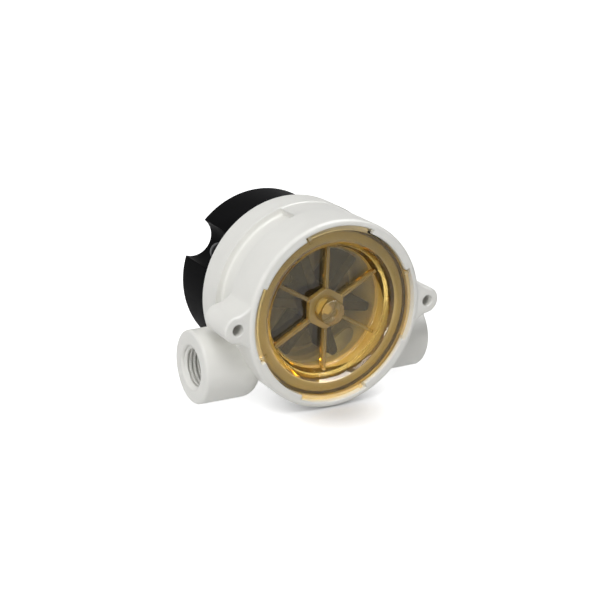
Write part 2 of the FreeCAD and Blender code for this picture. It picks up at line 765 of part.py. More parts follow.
def scallops(name, radius, start, length):
    """Round channels along the rim of the rear housing, over its screws."""
    return [cylinder(f"{name}_{angle}", radius, length, polar("housing_radius", angle, start))
            for angle in SCREW_ANGLES]


def screw_holes(name, radius, start, length):
    """Holes at the places of the housing screws."""
    return [cylinder(f"{name}_{angle}", radius, length, polar("screw_circle", angle, start))
            for angle in SCREW_ANGLES]


def make_rear_housing():
    """Black cup over the electronics, with a foot and a scallop for each of its screws."""
    outside = turned("housing_outside", [
        ("0", "housing_front"),
        ("housing_radius", "housing_front"),
        ("housing_radius", "housing_rear - housing_round", "housing_round", 1),
        ("housing_radius - housing_round", "housing_rear"),
        ("0", "housing_rear"),
    ])
    room = "housing_length - housing_end"
    hollow = cylinder("housing_hollow", "housing_radius - housing_wall", room, ("0", "housing_front", "0"))
    ribs = scallops("housing_rib", "scallop_radius + housing_wall", "housing_front", room)
    inside = cut("housing_inside", hollow, fused("housing_ribs", ribs))
    tools = [inside] + scallops("scallop", "scallop_radius", "foot_back", "housing_length")
    tools += screw_holes("foot_hole", "screw_hole_radius", "housing_front", "foot_thickness")
    tools.append(cylinder("grommet_hole", "grommet_neck_radius", "2 * housing_end",
                          ("0", "housing_rear - 2 * housing_end", "0")))
    node(cut("rear_housing", outside, fused("housing_tools", tools)))
    ring = turned("gasket_ring", block("pocket_radius + gasket_margin", "housing_radius - gasket_margin",
                                       "body_rear", "housing_front"))
    holes = screw_holes("gasket_hole", "screw_hole_radius", "body_rear", "gasket_thickness")
    node(cut("housing_gasket", ring, fused("gasket_holes", holes)))


def cross_screw(name, at, sizes):
    """A screw from its head's seat forwards, with a rounded head and a cross recess."""
    radius, length, head_radius, head_height, head_round, width, reach, depth = sizes
    body = turned(name + "_blank", [
        ("0", f"-({length})"),
        (f"{radius} - loose_gap", f"-({length})"),
        (radius, f"-({length}) + loose_gap"),
        (radius, "0"),
        (head_radius, "0"),
        (head_radius, f"{head_height} - {head_round}", head_round, 1),
        (f"{head_radius} - {head_round}", head_height),
        ("0", head_height),
    ])
    arms = [box(f"{name}_arm_{index}", *size, ("0", f"{head_height} - {depth}", "0"))
            for index, size in enumerate(((f"2 * {reach}", head_height, width),
                                          (width, head_height, f"2 * {reach}")))]
    return place(cut(name, body, fused(name + "_cross", arms)), at)


def make_housing_fasteners():
    """Screws, washers and threaded inserts that hold the rear housing to the body."""
    sizes = ("screw_radius", "screw_length", "screw_head_radius", "screw_head_height", "screw_head_round",
             "cross_width", "cross_reach", "cross_depth")
    node(group("housing_screws", [
        cross_screw(f"housing_screw_{angle}", polar("screw_circle", angle, "washer_back"), sizes)
        for angle in SCREW_ANGLES]))
    washers = []
    inserts = []
    for angle in SCREW_ANGLES:
        seat = polar("screw_circle", angle, "foot_back")
        ring = turned(f"washer_{angle}", block("screw_hole_radius", "plain_washer_radius", "0",
                                               "plain_washer_thickness"))
        washers.append(place(ring, seat))
        sleeve = turned(f"insert_{angle}", block("insert_bore_radius", "insert_radius",
                                                 "-insert_length", "0"))
        inserts.append(place(sleeve, polar("screw_circle", angle, "body_rear")))
    node(group("housing_washers", washers))
    node(group("threaded_inserts", inserts))


def make_cable_grommet():
    """Grommet in the rear wall, where the lead comes out."""
    wall_front = "(housing_rear - housing_end)"
    node(turned("cable_grommet", [
        ("cable_radius", f"{wall_front} - grommet_rim_thickness"),
        ("grommet_nose_radius", f"{wall_front} - grommet_rim_thickness"),
        ("grommet_rim_radius", wall_front),
        ("grommet_neck_radius", wall_front),
        ("grommet_neck_radius", "housing_rear"),
        ("grommet_rim_radius", "housing_rear"),
        ("grommet_nose_radius", "housing_rear + grommet_rim_thickness"),
        ("cable_radius", "housing_rear + grommet_rim_thickness"),
    ]))


def make_circuit_board():
    """Round board with its screws."""
    blank = cylinder("board_blank", "board_radius", "board_thickness", ("0", "board_front", "0"))
    holes = [cylinder(f"board_hole_{angle}", "board_screw_radius + loose_gap", "board_thickness",
                      polar("board_screw_circle", angle, "board_front")) for angle in BOARD_SCREW_ANGLES]
    node(cut("circuit_board", blank, fused("board_holes", holes)))
    sizes = ("board_screw_radius", "board_screw_length", "board_screw_head_radius",
             "board_screw_head_height", "(board_screw_head_height / 2)", "board_cross_width",
             "board_cross_reach", "board_cross_depth")
    node(group("board_screws", [
        cross_screw(f"board_screw_{angle}", polar("board_screw_circle", angle, "board_back"), sizes)
        for angle in BOARD_SCREW_ANGLES]))


def make_hall_sensor():
    """Magnetic sensor on the front of the board, on the circle of the magnets, with its three legs."""
    x, y, z = polar("magnet_circle", HALL_ANGLE, "board_front - hall_thickness")
    node(box("hall_sensor", "hall_width", "hall_thickness", "hall_height", (x, y, z)))
    legs = []
    top = f"{z} + hall_height / 2"
    for index in (-1, 0, 1):
        across = f"{x} + {index} * leg_pitch"
        run = box(f"hall_leg_run_{index + 1}", "leg_width", "leg_width", "hall_leg_run",
                  (across, "board_front - hall_thickness / 2", f"{top} + hall_leg_run / 2"))
        drop = box(f"hall_leg_drop_{index + 1}", "leg_width", "hall_thickness / 2", "leg_width",
                   (across, "board_front - hall_thickness / 2",
                    f"{top} + hall_leg_run - leg_width / 2"))
        legs.append(fused(f"hall_leg_{index + 1}", [run, drop]))
    node(group("hall_sensor_legs", legs))


def make_board_parts():
    """Parts soldered on the rear of the board."""
    node(box("signal_chip", "chip_width", "chip_thickness", "chip_height",
             ("chip_x", "board_back", "chip_z")))
    legs = []
    for side in (-1, 1):
        for index in range(CHIP_LEGS):
            at = (f"chip_x + {index - (CHIP_LEGS - 1) / 2} * leg_pitch", "board_back",
                  f"chip_z + {side} * (chip_height + chip_leg_reach) / 2")
            legs.append(box(f"chip_leg_{index}_{side + 1}", "leg_width", "chip_leg_thickness",
                            "chip_leg_reach", at))
    node(group("chip_legs", legs))
    node(box("voltage_regulator", "regulator_width", "regulator_thickness", "regulator_height",
             ("regulator_x", "board_back", "regulator_z")))
    node(group("capacitors", [
        cylinder(f"capacitor_{index}", "capacitor_radius", "capacitor_length",
                 (f"capacitor_x + {index} * capacitor_pitch", "board_back", "capacitor_z"))
        for index in (-1, 0)]))
    node(group("resistors", [
        box(f"resistor_{index + 1}", "resistor_width", "resistor_thickness", "resistor_height",
            ("resistor_x", "board_back", f"resistor_z + {index} * resistor_pitch"))
        for index in (-1, 0, 1)]))


def make_lead_connector():
    """Open box header that the lead plugs into, with three pins."""
    shell = box("connector_shell", "connector_width", "connector_length", "connector_depth",
                ("0", "board_back", "connector_z"))
    hollow = box("connector_hollow", "connector_width - 2 * connector_wall", "connector_length",
                 "connector_depth - 2 * connector_wall",
                 ("0", "board_back + connector_wall", "connector_z"))
    pins = [box(f"pin_{index + 1}", "pin_width", "pin_length", "pin_width",
                (f"{index} * pin_pitch", "board_back", "connector_z")) for index in (-1, 0, 1)]
    slots = [box(f"pin_slot_{index + 1}", "pin_width", "pin_length", "pin_width",
                 (f"{index} * pin_pitch", "board_back", "connector_z")) for index in (-1, 0, 1)]
    node(cut("lead_connector", shell, fused("connector_tools", [hollow] + slots)))
    node(group("connector_pins", pins))


def check():
    """Stop if any object failed, any cut took nothing away or any sub-part isn't a sound solid."""
    doc.recompute()
    failed = [item.Label for item in doc.Objects if "Invalid" in item.State or "Error" in item.State]
    if failed:
        raise RuntimeError(f"failed objects: {failed}")
    cuts = [item for item in doc.Objects if item.isDerivedFrom("Part::Cut")]
    idle = [item.Label for item in cuts if item.Shape.Volume > item.Base.Shape.Volume - LEAST_CUT]
    if idle:
        raise RuntimeError(f"cuts that took nothing away: {idle}")
    for piece in nodes:
        shape = piece.Shape
        if shape.isNull() or not shape.isValid() or not shape.Solids:
            raise RuntimeError(f"unsound sub-part: {piece.Label}")


def write():
    """Write each sub-part under its label."""
    os.makedirs("parts", exist_ok=True)
    for piece in nodes:
        piece.Shape.exportStep(os.path.join("parts", piece.Label + ".step"))
        print(f"{piece.Label}: {len(piece.Shape.Solids)} solids, {piece.Shape.Volume:.1f} mm3")


fill_sheet()
make_flow_body()
make_lens()
make_lens_o_ring()
make_shaft_and_washers()
make_paddle_wheel()
make_rear_housing()
make_housing_fasteners()
make_cable_grommet()
make_circuit_board()
make_hall_sensor()
make_board_parts()
make_lead_connector()
check()
write()
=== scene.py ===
import json
import math

import bmesh
import bpy
from mathutils import Matrix, Vector

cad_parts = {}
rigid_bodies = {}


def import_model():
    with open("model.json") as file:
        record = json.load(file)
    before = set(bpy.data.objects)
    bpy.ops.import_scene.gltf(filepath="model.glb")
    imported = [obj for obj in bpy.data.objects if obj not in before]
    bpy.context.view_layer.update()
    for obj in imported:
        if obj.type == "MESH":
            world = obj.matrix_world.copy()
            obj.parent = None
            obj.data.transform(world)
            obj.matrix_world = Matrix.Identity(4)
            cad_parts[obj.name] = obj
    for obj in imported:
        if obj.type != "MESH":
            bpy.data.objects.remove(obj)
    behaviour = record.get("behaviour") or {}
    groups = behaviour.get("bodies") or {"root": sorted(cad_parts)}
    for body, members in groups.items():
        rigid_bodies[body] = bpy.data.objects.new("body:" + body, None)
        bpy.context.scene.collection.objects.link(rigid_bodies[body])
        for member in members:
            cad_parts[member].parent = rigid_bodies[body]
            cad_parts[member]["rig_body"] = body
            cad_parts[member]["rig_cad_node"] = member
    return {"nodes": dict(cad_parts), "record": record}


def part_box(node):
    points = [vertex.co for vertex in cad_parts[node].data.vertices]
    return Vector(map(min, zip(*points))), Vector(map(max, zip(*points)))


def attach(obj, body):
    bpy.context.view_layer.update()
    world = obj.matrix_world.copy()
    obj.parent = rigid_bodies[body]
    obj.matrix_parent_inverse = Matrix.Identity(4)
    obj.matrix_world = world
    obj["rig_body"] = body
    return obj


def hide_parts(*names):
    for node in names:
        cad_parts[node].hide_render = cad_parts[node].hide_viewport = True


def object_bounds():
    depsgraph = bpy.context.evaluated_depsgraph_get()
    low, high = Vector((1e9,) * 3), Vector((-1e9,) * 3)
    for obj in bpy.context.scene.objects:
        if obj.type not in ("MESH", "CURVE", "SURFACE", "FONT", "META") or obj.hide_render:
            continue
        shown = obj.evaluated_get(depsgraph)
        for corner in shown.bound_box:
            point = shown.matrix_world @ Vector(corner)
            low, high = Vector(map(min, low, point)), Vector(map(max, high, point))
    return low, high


bl_info = {
    "name": "Paddle wheel flow sensor",
    "version": (1, 0, 0),
    "blender": (4, 5, 0),
    "location": "3D View > Sidebar > Flow sensor",
    "description": "Models and finishes the pieces of a paddle wheel flow sensor "
                   "and sets its studio stage",
    "category": "Object",
}

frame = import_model()
CAD_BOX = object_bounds()
NODES = frame["nodes"]
SLOT_OF = {entry["node"]: entry["material_slot"] for entry in frame["record"]["subparts"]}
BODIES = frame["record"]["behaviour"]["bodies"]
BODY_OF = {node: body for body, members in BODIES.items() for node in members}
LENS_LOW, LENS_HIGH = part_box("lens")
SEAL_LOW, SEAL_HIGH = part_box("lens_o_ring")
GROMMET_LOW, GROMMET_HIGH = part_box("cable_grommet")
HOUSING_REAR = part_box("rear_housing")[1].y

MM = 0.001
FINISH_NAME = "{}_finish"        # name of the material for a slot, apart from the frame's own
FULL_TURN = 2 * math.pi
SMOOTH_BELOW = math.radians(32)  # edges flatter than this are shaded smooth
MERGE_WITHIN = 1e-6              # metres between points that count as one
SAME_PLACE = 1e-5                # metres between a point and the place where it is looked for
TURN_STEPS = 360                 # faces round a turned piece
SEAL_SIDES = 24                  # faces round the section of the lens's seal
LIP_SEGMENTS = 12                # faces across the rounding of the lens's lip
ROUND_SEGMENTS = 4               # faces across a wider rounding
EDGE_SEGMENTS = 3                # faces across the rounding of a small edge
SIDE_LEAN = 0.5                  # a side's normal has less than this along the axis
RIB_COUNT = 6
LUG_COUNT = 4
FLOOR_WIDTH = 6.0                # metres
FLOOR_CUTS = 4
LEVEL = Vector((1, 0, 0))        # direction along which a lamp's edges lie

# Where a finish runs into another: from and to, in metres from the axis or along it
# the wheel's chamber, where painted shade darkens the body
CHAMBER_SHADE_WALL = (21.2 * MM, 20.8 * MM)
CHAMBER_SHADE_FRONT = (9.5 * MM, 11.5 * MM)
LENS_WALLS = (19.0 * MM, 19.8 * MM)
# the flange, where painted shade darkens the lens
FLANGE_SHADE_ZONE = (21.8 * MM, 22.8 * MM)
LENS_LUGS = (25.9 * MM, 26.2 * MM)
LENS_RIBS = (8.1 * MM, 7.9 * MM)
HEXAGON_OUTSIDE = (6.6 * MM, 6.0 * MM)
HEXAGON_INSIDE = (4.0 * MM, 4.4 * MM)
# the web behind the vanes, painted paler as if lit
LIT_WEB_ZONE = (21.5 * MM, 22.8 * MM)
# painted shadow round the foot of the rim, where the floor's glow fades in
PAINTED_SHADOW_PATCH = (0.0, 30.0 * MM)

# Shares of the satin layer that paints light into the lens, which add up where its zones overlap
PAINTED_GLOW_WALLS = 0.1
PAINTED_GLOW_LUGS = 0.45
PAINTED_GLOW_RIBS = 0.5
PAINTED_GLOW_HEXAGON = 0.2

CLOUDS = (0.3, 0.7)              # levels of noise between which soft clouds run in
BLOOM = (0.35, 0.75)             # and the bloom on rubber
COLOUR_A, COLOUR_B = 6, 7        # inputs of a Mix node for colours
COLOUR_MIXED = 2                 # and its output
DARK = (0, 0, 0, 1)
BRIGHT = (1, 1, 1, 1)


def length(name, description, metres):
    """A size of the panel."""
    return bpy.props.FloatProperty(name=name, description=description, default=metres,
                                   unit="LENGTH", precision=5)


def angle(name, description, degrees):
    """An angle of the panel."""
    return bpy.props.FloatProperty(name=name, description=description,
                                   default=math.radians(degrees), subtype="ANGLE")


def position(name, description, x, y, z):
    """A place on the panel, in metres."""
    return bpy.props.FloatVectorProperty(name=name, description=description, default=(x, y, z),
                                         subtype="TRANSLATION", size=3)


def power(name, description, watts):
    """A lamp's power on the panel."""
    return bpy.props.FloatProperty(name=name, description=description, default=watts,
                                   unit="POWER", min=0)


def strength(name, description, share):
    """A strength of light on the panel, 1 for white."""
    return bpy.props.FloatProperty(name=name, description=description, default=share, min=0)


def colour(name, description, red, green, blue):
    """A colour of the panel."""
    return bpy.props.FloatVectorProperty(name=name, description=description,
                                         default=(red, green, blue), subtype="COLOR",
                                         size=3, min=0, max=1)


class FlowSensorSizes(bpy.types.PropertyGroup):
    """Sizes of the modelled pieces."""

    flange_radius: length("Flange radius", "Outside of the lens flange", 26.2 * MM)
    flange_front: length("Flange front", "Front face of the lens flange", 0.7 * MM)
    flange_back: length("Flange back", "Rear face of the lens flange", 3.0 * MM)
    lip_corner: length("Lip corner", "Where the cup's wall would meet the flange", 21.67 * MM)
    lip_round: length("Lip rounding", "How far the rounding of the lip reaches each way", 2.9 * MM)
    neck_radius: length("Neck radius", "Outside of the lens below its flange", 22.6 * MM)
    neck_depth: length("Neck depth", "Where the neck steps in to the cup", 6.6 * MM)
    cup_radius: length("Cup radius", "Outside of the lens cup", 21.6 * MM)
    cup_back: length("Cup back", "Rear face of the lens cup", 10.4 * MM)
    floor_radius: length("Floor radius", "Edge of the cup's floor", 19.3 * MM)
    floor_depth: length("Floor depth", "Front face of the cup's floor", 8.2 * MM)
    post_radius: length("Post radius", "Outside of the centre post", 4.0 * MM)
    post_end: length("Post end", "Front end of the centre post", 1.9 * MM)
    gate_radius: length("Dimple radius", "Dimple in the end of the post", 1.5 * MM)
    gate_depth: length("Dimple depth", "Depth of the dimple", 0.5 * MM)
    boss_radius: length("Boss radius", "Boss on the rear of the lens, under a washer", 4.5 * MM)
    boss_back: length("Boss back", "Rear face of that boss", LENS_HIGH.y)
    bore_radius: length("Bore radius", "Bore of the lens for the shaft", 1.55 * MM)
    bore_front: length("Bore front", "Blind end of that bore", 6.8 * MM)
    lug_front: length("Lug front", "Front face of the bayonet lugs", 1.45 * MM)
    lug_radius: length("Lug radius", "Outside of the bayonet lugs", LENS_HIGH.x)
    lug_width: angle("Lug width", "How far a lug reaches round the flange", 46.0)
    key_front: length("Key front", "Front face of the rib at one end of each lug", LENS_LOW.y)
    key_root: length("Key root", "Radius where that rib starts on the flange", 25.0 * MM)
    key_width: angle("Key width", "How far that rib reaches round the flange", 2.0)
    rib_front: length("Rib front", "Front face of the ribs and the hexagon", 6.2 * MM)
    rib_sink: length("Rib sink", "How far the ribs reach into the floor", 0.3 * MM)
    rib_width: length("Rib width", "Width of a rib", 1.2 * MM)
    hexagon_radius: length("Hexagon radius", "Corners of the hexagon round the post", 6.8 * MM)
    seal_flash: length("Seal flash", "How far the moulding line stands out on the seal", 0.04 * MM)
    grommet_bore: length("Grommet bore", "Hole for the lead", 1.9 * MM)
    grommet_neck: length("Grommet neck", "Neck of the grommet in the wall", 4.0 * MM)
    grommet_nose: length("Grommet nose", "Ends of the grommet", 4.6 * MM)
    grommet_wall: length("Grommet wall", "Thickness of the wall that the grommet holds", 2.5 * MM)
    edge_round: length("Edge rounding", "Rounding of small moulded edges", 0.25 * MM)


class FlowSensorColours(bpy.types.PropertyGroup):
    """Colours of the plastics, rubber and metals."""

    white: colour("Body", "White plastic of the body", 0.80, 0.795, 0.755)
    # painted shade: the body is darker inside the wheel's chamber
    chamber: colour("Wheel chamber", "Stained plastic round the wheel", 0.46, 0.44, 0.38)
    amber: colour("Lens", "What light keeps on its way through the lens", 0.93, 0.78, 0.20)
    # painted light: the gold stands in for light glowing inside the clear amber of the walls, ribs
    # and hexagon
    gold: colour("Lens sheen", "Satin walls and ribs of the lens", 0.36, 0.25, 0.08)
    # painted light: the cream stands in for the lit white ledge seen through the lugs
    cream: colour("Lug sheen", "Satin lugs of the lens", 0.86, 0.74, 0.48)
    clear: colour("Clear window", "What the surface of the window lets through", 1.0, 0.97, 0.90)
    # painted shade: the flange lets less through, so that the ledge behind it looks shaded
    painted_flange_shade: colour("Clear flange", "What the surface of the flange lets through", 0.57, 0.53, 0.42)
    into_window: colour("Light in the window", "What lamps keep at each surface", 0.60, 0.57, 0.48)
    into_flange: colour("Light in the flange", "What lamps keep at each surface", 0.42, 0.40, 0.34)
    into_lugs: colour("Light in the lugs", "What lamps keep at each surface", 0.93, 0.92, 0.90)
    black: colour("Rear housing", "Black plastic of the rear housing", 0.004, 0.004, 0.0043)
    wheel: colour("Paddle wheel", "Vanes of the paddle wheel", 0.006, 0.006, 0.006)
    # painted light: the web is paler than the vanes, as if lit
    web: colour("Wheel web", "Web behind the vanes", 0.15, 0.14, 0.12)
    rubber: colour("Rubber", "Seals and grommet", 0.012, 0.012, 0.012)
    ceramic: colour("Shaft", "Ceramic of the shaft", 0.80, 0.79, 0.75)
    bearing: colour("Bearings", "Plastic of the bush and the washers", 0.70, 0.69, 0.64)
    nickel: colour("Magnets", "Nickel plate of the magnets", 0.62, 0.61, 0.58)
    brass: colour("Inserts", "Brass of the threaded inserts", 0.72, 0.55, 0.26)
    steel: colour("Board screws", "Steel of the screws of the board", 0.56, 0.56, 0.56)
    oxide: colour("Housing screws", "Black oxide on the screws of the housing", 0.030, 0.030, 0.032)
    board: colour("Board", "Solder mask of the circuit board", 0.010, 0.14, 0.05)
    track: colour("Tracks", "Copper tracks under the solder mask", 0.030, 0.24, 0.09)
    chip: colour("Chips", "Moulded black of the parts on the board", 0.020, 0.020, 0.020)
    tin: colour("Legs", "Tinned legs and pins", 0.70, 0.70, 0.68)
    can: colour("Capacitors", "Aluminium cans", 0.75, 0.75, 0.75)
    ivory: colour("Connector", "Nylon of the connector", 0.75, 0.70, 0.55)


class FlowSensorStage(bpy.types.PropertyGroup):
    """Camera, lamps and floor."""

    azimuth: angle("Azimuth", "Camera's angle round the sensor", -31.6)
    elevation: angle("Elevation", "Camera's angle above the sensor", 19.3)
    roll: angle("Roll", "Camera's turn about its own line of sight", 2.4)
    distance: length("Distance", "From the point aimed at to the camera", 0.385)
    aim: length("Aim", "Point aimed at on the wheel's axis", -0.3 * MM)
    focal_length: bpy.props.FloatProperty(name="Focal length", description="On a sensor 36 mm wide",
                                          default=77.0, unit="CAMERA")
    shift: bpy.props.FloatVectorProperty(name="Shift", description="As a share of the picture",
                                         size=2, default=(-0.0622, 0.0257))
    key_place: position("Key lamp", "Large soft lamp above", -0.25, -0.35, 0.80)
    key_width: length("Key width", "Side of its square", 0.40)
    key_power: power("Key power", "Power of that lamp", 3.45)
    side_place: position("Side lamp", "Small lamp at the left", -0.75, -0.45, 0.25)
    side_width: length("Side width", "Side of its square", 0.15)
    side_power: power("Side power", "Power of that lamp", 1.9)
    gloss_place: position("Gloss lamp", "Lamp seen only in glossy surfaces", 0.28, -0.21, 0.60)
    gloss_width: length("Gloss width", "Side of its square", 0.50)
    gloss_power: power("Gloss power", "Power of that lamp", 14.0)
    sky_strength: strength("Sky", "Even light from all round", 0.38)
    floor: colour("Floor", "Pale floor", 0.70, 0.70, 0.70)
    # painted shadow: little glow at the foot of the rim deepens the real shadow there
    near_glow: strength("Near glow", "Glow of the floor at the foot of the rim", 0.05)
    far_glow: strength("Far glow", "Glow of the rest of the floor", 0.85)


class Value:
    """A number socket of a material, on which Python's operators add Math nodes."""

    def __init__(self, finish, socket):
        self.finish = finish
        self.socket = socket

    def maths(self, operation, first, second):
        """What a Math node makes of two numbers."""
        made = self.finish.node("ShaderNodeMath", {"operation": operation}, {0: first, 1: second})
        return Value(self.finish, made.outputs[0])

    def __add__(self, other):
        return self.maths("ADD", self, other)

    __radd__ = __add__

    def __rsub__(self, other):
        return self.maths("SUBTRACT", other, self)

    def __mul__(self, other):
        return self.maths("MULTIPLY", self, other)

    __rmul__ = __mul__


class Nodes:
    """The nodes of a material or of the sky."""

    def __init__(self, tree):
        self.tree = tree

    def node(self, kind, settings=None, sockets=None):
        """Add a node with its settings, and give its sockets values or links."""
        made = self.tree.nodes.new(kind)
        for name, setting in (settings or {}).items():
            setattr(made, name, setting)
        for name, given in (sockets or {}).items():
            self.give(made.inputs[name], given)
        return made

    def give(self, socket, given):
        """Link a socket, or set its value."""
        if isinstance(given, Value):
            given = given.socket
        if isinstance(given, bpy.types.NodeSocket):
            self.tree.links.new(given, socket)
        else:
            socket.default_value = given

    def rays(self, *kinds):
        """1 for rays of some kinds, and 0 for the others."""
        path = self.node("ShaderNodeLightPath").outputs
        found = sum(Value(self, path[kind]) for kind in kinds)
        return found.maths("MINIMUM", found, 1.0)

    def seen(self):
        """1 for what is looked at, by way of glossy or clear surfaces too, and 0 for light."""
        return self.rays("Is Camera Ray", "Is Glossy Ray", "Is Transmission Ray")


class Finish(Nodes):
    """A procedural material on the object's own coordinates."""

    def __init__(self, name):
        self.material = bpy.data.materials.new(FINISH_NAME.format(name))
        self.material.use_nodes = True
        super().__init__(self.material.node_tree)
        self.shader = self.tree.nodes["Principled BSDF"]
        self.output = self.tree.nodes["Material Output"].inputs
        self.place = self.node("ShaderNodeTexCoord").outputs["Object"]

    def axis(self, name):
        """One coordinate of the place, in metres."""
        return Value(self, self.node("ShaderNodeSeparateXYZ", None, {0: self.place}).outputs[name])

    def radius(self, across=(1, 0, 1)):
        """Distance from the wheel's axis, or from another axis, in metres."""
        flat = self.node("ShaderNodeVectorMath", {"operation": "MULTIPLY"},
                         {0: self.place, 1: across})
        distance = self.node("ShaderNodeVectorMath", {"operation": "LENGTH"}, {0: flat.outputs[0]})
        return Value(self, distance.outputs["Value"])

    def noise(self, size, detail=3.0):
        """Cloudy noise whose patches are about as large as a size in metres."""
        made = self.node("ShaderNodeTexNoise", None,
                         {"Vector": self.place, "Scale": 1 / size, "Detail": detail})
        return Value(self, made.outputs[0])

    def ramp(self, factor, low, high):
        """A number that runs from 0 to 1 as another goes from low to high."""
        made = self.node("ShaderNodeMapRange", {"interpolation_type": "SMOOTHSTEP"},
                         {"Value": factor, "From Min": low, "From Max": high})
        return Value(self, made.outputs[0])

    def mix(self, factor, first, second):
        """One colour running into another."""
        made = self.node("ShaderNodeMix", {"data_type": "RGBA"}, {"Factor": factor})
        self.give(made.inputs[COLOUR_A], first)
        self.give(made.inputs[COLOUR_B], second)
        return made.outputs[COLOUR_MIXED]

    def blend(self, factor, first, second):
        """One shader running into another."""
        made = self.node("ShaderNodeMixShader", None, {0: factor, 1: first, 2: second})
        return made.outputs[0]

    def bump(self, height, depth, normal=None):
        """Small relief, of a depth in metres."""
        sockets = {"Height": height, "Distance": depth, "Strength": 1.0}
        if normal:
            sockets["Normal"] = normal
        return self.node("ShaderNodeBump", None, sockets).outputs[0]

    def rounded(self, radius):
        """The surface's normal with its edges and inner corners rounded."""
        return self.node("ShaderNodeBevel", {"samples": 8}, {"Radius": radius}).outputs[0]

    def surface(self, **sockets):
        """Set the shader's own sockets."""
        for name, given in sockets.items():
            self.give(self.shader.inputs[name.replace("_", " ")], given)
        return self.material


def rgb(shade, factor=1.0):
    """A colour of the panel, lighter or darker, with its alpha."""
    return tuple(min(1.0, part * factor) for part in shade[:3]) + (1.0,)


def white_plastic(colours):
    """Warm white moulded plastic with a fine satin texture, and painted shade in the wheel's
    chamber.
    """
    finish = Finish("white_plastic")
    cloud = finish.ramp(finish.noise(size=14 * MM), *CLOUDS)
    grain = finish.noise(size=0.25 * MM, detail=2.0)
    # painted shade: the white turns darker inside the wheel's chamber
    chamber = (finish.ramp(finish.radius(), *CHAMBER_SHADE_WALL)
               * finish.ramp(finish.axis("Y"), *CHAMBER_SHADE_FRONT))
    outside = finish.mix(cloud, rgb(colours.white), rgb(colours.white, factor=0.965))
    base = finish.mix(chamber, outside, rgb(colours.chamber))
    normal = finish.bump(grain, depth=0.006 * MM, normal=finish.rounded(radius=0.7 * MM))
    return finish.surface(Base_Color=base, Roughness=0.42 + 0.1 * cloud, Normal=normal, IOR=1.49)


def amber_plastic(colours):
    """Clear amber plastic with faint flow lines, painted light in a satin layer on its walls, lugs
    and ribs, and painted shade in its flange.
    """
    finish = Finish("amber_plastic")
    flow = finish.noise(size=9 * MM)
    grain = finish.noise(size=0.3 * MM)
    radius = finish.radius()
    walls = finish.ramp(radius, *LENS_WALLS)
    ribs = finish.ramp(finish.axis("Y"), *LENS_RIBS) * (1 - walls)
    hexagon = finish.ramp(radius, *HEXAGON_OUTSIDE) * finish.ramp(radius, *HEXAGON_INSIDE) * ribs
    lugs = finish.ramp(radius, *LENS_LUGS)
    # painted shade: the flange, away from its lugs, is darkened
    flange = finish.ramp(radius, *FLANGE_SHADE_ZONE) * (1 - lugs)

    # painted light: a gold glow on the walls, ribs and hexagon, and cream light on the lugs, in a
    # satin layer
    gold = finish.mix(grain, rgb(colours.gold), rgb(colours.gold, factor=1.25))
    sheen = finish.node("ShaderNodeBsdfPrincipled", None, {
        "Base Color": finish.mix(lugs, gold, rgb(colours.cream)),
        "Roughness": 0.25 + 0.15 * grain,
        "Normal": finish.bump(grain, depth=0.01 * MM)})
    # how much of the painted light shows in each zone
    satin = (PAINTED_GLOW_WALLS * walls + PAINTED_GLOW_LUGS * lugs + PAINTED_GLOW_RIBS * ribs
             + PAINTED_GLOW_HEXAGON * hexagon)
    plastic = finish.blend(satin, finish.shader.outputs[0], sheen.outputs[0])
    absorption = finish.node("ShaderNodeVolumeAbsorption", None,
                             {"Color": rgb(colours.amber), "Density": 300.0})
    finish.give(finish.output["Volume"], absorption.outputs[0])
    from_lamps = finish.rays("Is Shadow Ray")

    def open_to_lamps(shade):
        """The plastic, through which the light of lamps comes in a shade."""
        passed = finish.node("ShaderNodeBsdfTransparent", None, {"Color": rgb(shade)})
        return finish.blend(from_lamps, plastic, passed.outputs[0])

    whole = open_to_lamps(colours.into_window)
    for zone, shade in ((walls, colours.into_flange), (lugs, colours.into_lugs)):
        whole = finish.blend(zone, whole, open_to_lamps(shade))
    finish.give(finish.output["Surface"], whole)
    # painted shade: the flange lets through the darker colour
    return finish.surface(Base_Color=finish.mix(flange, rgb(colours.clear), rgb(colours.painted_flange_shade)),
                          Roughness=0.02 + 0.03 * flow, IOR=1.40, Transmission_Weight=1.0,
                          Normal=finish.bump(flow, depth=0.01 * MM))


def black_plastic(colours):
    """Black moulded plastic with a fine spark-eroded texture."""
    finish = Finish("black_plastic")
    cloud = finish.ramp(finish.noise(size=11 * MM), *CLOUDS)
    grain = finish.noise(size=0.3 * MM, detail=2.0)
    base = finish.mix(cloud, rgb(colours.black), rgb(colours.black, factor=1.6))
    normal = finish.bump(grain, depth=0.010 * MM, normal=finish.rounded(radius=0.4 * MM))
    return finish.surface(Base_Color=base, Roughness=0.36 + 0.12 * cloud, Normal=normal,
                          Specular_IOR_Level=0.004)


def wheel_plastic(colours):
    """Dark glass-filled plastic of the paddle wheel, with painted light that makes the web behind
    the vanes paler.
    """
    finish = Finish("wheel_plastic")
    fibres = finish.noise(size=0.8 * MM, detail=2.0)
    # painted light: the web turns paler than the vanes
    web = finish.ramp(finish.axis("Y"), *LIT_WEB_ZONE)
    shade = finish.mix(web, rgb(colours.wheel), rgb(colours.web))
    base = finish.mix(0.15 * fibres, shade, rgb(colours.web, factor=0.6))
    return finish.surface(Base_Color=base, Roughness=0.45 + 0.2 * fibres, Specular_IOR_Level=0.1,
                          Normal=finish.bump(fibres, depth=0.004 * MM))


def black_rubber(colours):
    """Black rubber with a dull bloom."""
    finish = Finish("black_rubber")
    bloom = finish.ramp(finish.noise(size=4 * MM), *BLOOM)
    base = finish.mix(bloom, rgb(colours.rubber), rgb(colours.rubber, factor=1.7))
    return finish.surface(Base_Color=base, Roughness=0.6 + 0.2 * bloom,
                          Normal=finish.bump(finish.noise(size=0.2 * MM), depth=0.01 * MM))


